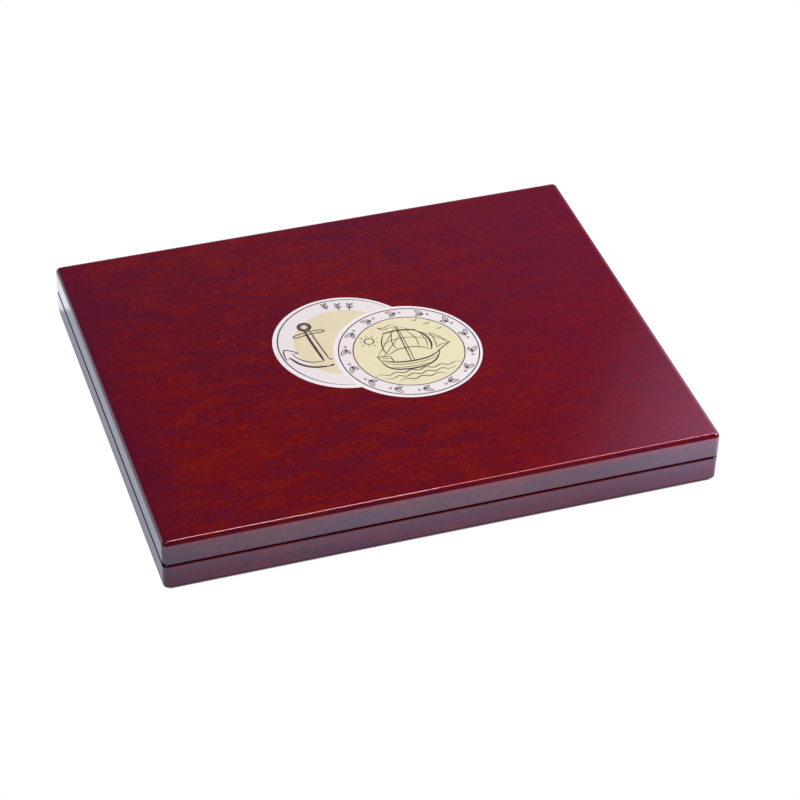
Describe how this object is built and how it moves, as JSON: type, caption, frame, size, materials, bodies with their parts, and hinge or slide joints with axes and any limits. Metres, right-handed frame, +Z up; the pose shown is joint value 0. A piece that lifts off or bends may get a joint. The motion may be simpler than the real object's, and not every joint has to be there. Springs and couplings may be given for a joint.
{
  "type": "coin display case",
  "caption": "Flat rectangular wooden presentation case with a hinged lid, a padded lining and a velour tray of round pockets for coin capsules.",
  "frame": {"origin": "centre of the rectangle that the closed case stands on", "axes": "+Z up, -Y towards the front edge that opens, +X to the right along the long side"},
  "size_m": [0.305, 0.25, 0.0312],
  "materials": {
    "lacquered_mahogany": "mahogany veneer under high-gloss lacquer",
    "fibreboard": "bare medium-density fibreboard",
    "underside_felt": "pressed black felt",
    "tray_velour": "short-pile dark blue velour",
    "lining_card": "grey-white backing card",
    "lining_satin": "ivory satin over wadding",
    "nickel_magnet": "nickel-plated magnet",
    "emblem_print": "glossy printed plate in white, pale yellow and black",
    "hinge_brass": "polished brass"
  },
  "bodies": {
    "base": {"base_floor": "fibreboard", "base_front_rail": "lacquered_mahogany", "base_rear_rail": "lacquered_mahogany", "base_left_rail": "lacquered_mahogany", "base_right_rail": "lacquered_mahogany", "base_felt": "underside_felt", "tray_board": "tray_velour", "tray_backing": "tray_velour", "base_magnets": "nickel_magnet", "hinge_left_base_leaf": "hinge_brass", "hinge_right_base_leaf": "hinge_brass", "hinge_left_pin": "hinge_brass", "hinge_right_pin": "hinge_brass", "base_hinge_screws": "hinge_brass"},
    "lid": {"lid_panel": "lacquered_mahogany", "lid_front_rail": "lacquered_mahogany", "lid_rear_rail": "lacquered_mahogany", "lid_left_rail": "lacquered_mahogany", "lid_right_rail": "lacquered_mahogany", "lining_board": "lining_card", "lining_pad": "lining_satin", "lid_magnets": "nickel_magnet", "front_emblem": "emblem_print", "rear_emblem": "emblem_print", "hinge_left_lid_leaf": "hinge_brass", "hinge_right_lid_leaf": "hinge_brass", "lid_hinge_screws": "hinge_brass"}
  },
  "joints": [
    {"name": "lid_hinge", "type": "hinge", "parent": "base", "child": "lid", "pos_m": [0, 0.1234, 0.01595], "axis": [-1, 0, 0], "range_deg": [0, 100]}
  ]
}
